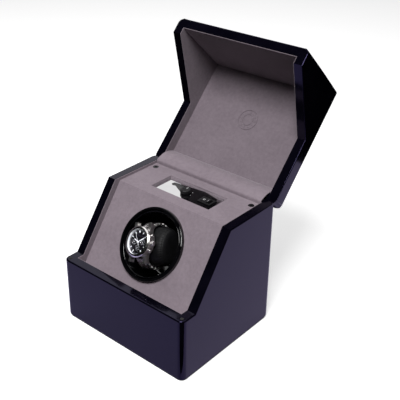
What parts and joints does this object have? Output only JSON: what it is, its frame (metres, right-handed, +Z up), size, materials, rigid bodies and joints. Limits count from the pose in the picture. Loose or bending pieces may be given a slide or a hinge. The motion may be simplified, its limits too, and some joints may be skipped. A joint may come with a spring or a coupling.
{
  "type": "watch winder box",
  "caption": "Lacquered box with a raked suede front panel, a motor-driven rotor cup holding a watch on a cushion, a small control panel and a deep hinged lid.",
  "frame": {"origin": "centre of the underside of the box, on the surface it stands on", "axes": "+Z up, -Y out of the front, +X to the box's right side as seen from the front; the lid opens towards +Y"},
  "size_m": [0.18, 0.2645, 0.3156],
  "materials": {
    "black_lacquer": "high gloss black lacquer on fibreboard",
    "board": "plain fibreboard",
    "felt": "black felt",
    "suede": "mauve grey microsuede",
    "black_screw": "black oxide",
    "mirror_plate": "mirror polished",
    "gloss_black": "polished black",
    "circuit": "solder mask green",
    "satin_black": "satin moulded",
    "frame_steel": "zinc plated",
    "bronze": "oil-filled sintered bronze",
    "motor_can": "plated can",
    "nylon": "natural nylon",
    "shaft_steel": "ground",
    "cushion_cloth": "black smooth leatherette",
    "watch_steel": "brushed and polished",
    "watch_black": "gloss black",
    "watch_white": "white enamel",
    "crystal": "clear",
    "hinge_brass": "polished",
    "rubber": "soft"
  },
  "bodies": {
    "case": {"left_side": "black_lacquer", "right_side": "black_lacquer", "front_board": "black_lacquer", "rear_board": "black_lacquer", "bottom_board": "board", "base_felt": "felt", "left_liner": "suede", "right_liner": "suede", "front_liner": "suede", "fascia": "suede", "deck": "suede", "deck_cleats": "board", "deck_screws": "black_screw", "control_plate": "mirror_plate", "circuit_board": "circuit", "rocker_housing": "satin_black", "trim_ring": "gloss_black", "drive_frame": "frame_steel", "frame_screws": "frame_steel", "shaft_bushes": "bronze", "gear_motor": "motor_can", "motor_screws": "frame_steel", "dc_inlet": "satin_black", "inlet_nut": "frame_steel", "hinge_base_leaves": "hinge_brass", "hinge_pins": "hinge_brass", "hinge_gusset": "suede", "lid_bumpers": "rubber"},
    "lid": {"lid_top": "black_lacquer", "lid_front": "black_lacquer", "lid_rear": "black_lacquer", "lid_left": "black_lacquer", "lid_right": "black_lacquer", "lid_top_liner": "suede", "lid_left_liner": "suede", "lid_right_liner": "suede", "lid_front_liner": "suede", "lid_emblem": "suede", "hinge_lid_leaves": "hinge_brass"},
    "rotor": {"rotor_cup": "gloss_black", "rotor_shaft": "shaft_steel", "shaft_clip": "frame_steel", "rotor_gear": "nylon"},
    "watch_cushion": {"cushion": "cushion_cloth", "watch_case": "watch_steel", "watch_bezel": "watch_steel", "watch_dial": "watch_black", "dial_markers": "watch_white", "watch_hands": "watch_white", "watch_crystal": "crystal", "watch_crown": "watch_steel", "watch_pushers": "watch_steel", "watch_bracelet": "watch_steel", "bracelet_clasp": "watch_steel"},
    "pinion": {"motor_pinion": "nylon"},
    "knob": {"mode_knob": "satin_black"},
    "rocker": {"power_rocker": "satin_black"}
  },
  "joints": [
    {"name": "lid_hinge", "type": "hinge", "parent": "case", "child": "lid", "pos_m": [0, 0.0745, 0.1534], "axis": [1, 0, 0], "range_deg": [0, 132.65], "deforming": ["hinge_gusset"]},
    {"name": "rotor_spin", "type": "hinge", "parent": "case", "child": "rotor", "pos_m": [0, -0.0254, 0.10952], "axis": [0, -0.8152, 0.5792], "continuous": true},
    {"name": "pinion_spin", "type": "hinge", "parent": "case", "child": "pinion", "pos_m": [0.04, -0.0254, 0.10952], "axis": [0, -0.8152, 0.5792], "continuous": true},
    {"name": "cushion_lift", "type": "slide", "parent": "rotor", "child": "watch_cushion", "axis": [0, -0.8152, 0.5792], "range_m": [0, 0.01]},
    {"name": "knob_turn", "type": "hinge", "parent": "case", "child": "knob", "pos_m": [-0.005, 0.0355, 0.1477], "axis": [0, 0, 1], "range_deg": [-135, 135]},
    {"name": "rocker_tilt", "type": "hinge", "parent": "case", "child": "rocker", "pos_m": [0.026, 0.0355, 0.1451], "axis": [0, 1, 0], "range_deg": [0, 14]}
  ],
  "couplings": [
    {"joint": "pinion_spin", "follows": "rotor_spin", "ratio": -3}
  ]
}
